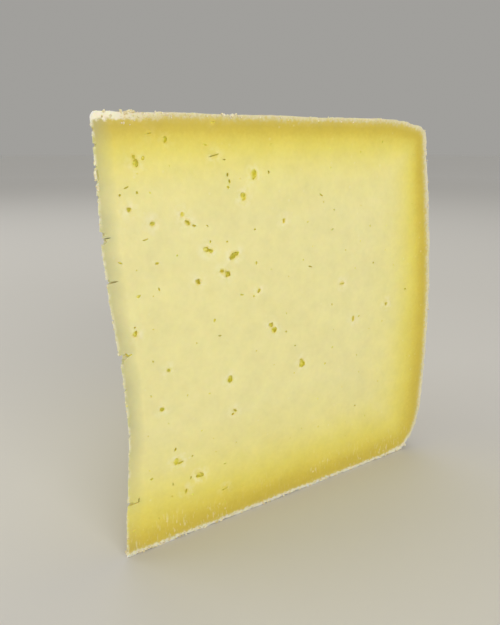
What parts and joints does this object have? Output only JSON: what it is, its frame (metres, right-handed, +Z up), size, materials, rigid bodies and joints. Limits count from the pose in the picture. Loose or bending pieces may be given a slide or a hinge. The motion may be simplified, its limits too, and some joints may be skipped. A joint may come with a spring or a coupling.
{
  "type": "cheese wedge",
  "caption": "Wedge cut from a round wheel of semi-hard cheese, with flat cut faces, small eyes, a sharp inner edge and a thin natural rind, standing on its base.",
  "frame": {"origin": "centre of the bounding box in plan, at the height of the flat base that the wedge stands on", "axes": "+Z up along the wheel's upright centre line; the sharp inner edge is at -X and the rounded heel at +X; the two cut faces open out to -Y and +Y"},
  "size_m": [0.1188, 0.0908, 0.12],
  "materials": {
    "cheese": "satin pale yellow paste with a matte cream to grey-beige natural rind"
  },
  "bodies": {
    "root": {"cheese_wedge": "cheese"}
  },
  "joints": []
}
